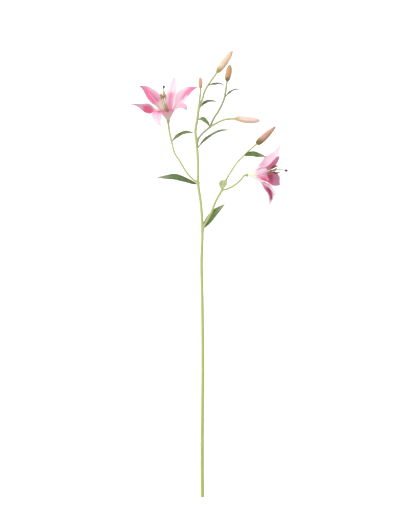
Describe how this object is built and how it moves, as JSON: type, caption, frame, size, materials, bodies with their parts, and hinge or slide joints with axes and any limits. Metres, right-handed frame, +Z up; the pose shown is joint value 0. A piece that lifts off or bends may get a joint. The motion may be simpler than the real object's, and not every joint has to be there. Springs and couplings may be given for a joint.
{
  "type": "cut flower",
  "caption": "Long cut lily stem lying on a surface, with open pink blooms, closed peach buds and narrow green leaves on thin branches",
  "frame": {"origin": "on the surface that the flower lies on, under the middle of its bounding box", "axes": "+Y from the cut end towards the top of the stem, +X to the side of the right bloom, +Z up from the surface"},
  "size_m": [0.3818, 1.0524, 0.1271],
  "materials": {
    "stem_green": "satin living plant skin, yellow-green",
    "leaf_green": "satin leaf, mid green, fine lengthwise veins",
    "petal_pink": "soft satin petal, white-pink margins, hot pink bands and crimson throat",
    "bud_peach": "satin closed bud, peach and pink with olive-green base",
    "pistil_green": "satin, pale green with a brown stigma",
    "filament_green": "satin, pale green",
    "anther_brown": "matte, dusty brown pollen"
  },
  "bodies": {
    "root": {"stem": "stem_green", "left_tepal_1": "petal_pink", "left_tepal_2": "petal_pink", "left_tepal_3": "petal_pink", "left_tepal_4": "petal_pink", "left_tepal_5": "petal_pink", "left_tepal_6": "petal_pink", "left_pistil": "pistil_green", "left_filament_1": "filament_green", "left_anther_1": "anther_brown", "left_filament_2": "filament_green", "left_anther_2": "anther_brown", "left_filament_3": "filament_green", "left_anther_3": "anther_brown", "left_filament_4": "filament_green", "left_anther_4": "anther_brown", "left_filament_5": "filament_green", "left_anther_5": "anther_brown", "left_filament_6": "filament_green", "left_anther_6": "anther_brown", "right_tepal_1": "petal_pink", "right_tepal_2": "petal_pink", "right_tepal_3": "petal_pink", "right_tepal_4": "petal_pink", "right_tepal_5": "petal_pink", "right_tepal_6": "petal_pink", "right_pistil": "pistil_green", "right_filament_1": "filament_green", "right_anther_1": "anther_brown", "right_filament_2": "filament_green", "right_anther_2": "anther_brown", "right_filament_3": "filament_green", "right_anther_3": "anther_brown", "right_filament_4": "filament_green", "right_anther_4": "anther_brown", "right_filament_5": "filament_green", "right_anther_5": "anther_brown", "right_filament_6": "filament_green", "right_anther_6": "anther_brown", "top_bud": "bud_peach", "upper_right_bud": "bud_peach", "small_bud": "bud_peach", "level_bud": "bud_peach", "right_bud": "bud_peach", "leaf_1": "leaf_green", "leaf_2": "leaf_green", "leaf_3": "leaf_green", "leaf_4": "leaf_green", "leaf_5": "leaf_green", "leaf_6": "leaf_green", "leaf_7": "leaf_green", "leaf_8": "leaf_green", "leaf_9": "leaf_green", "leaf_10": "leaf_green"}
  },
  "joints": []
}
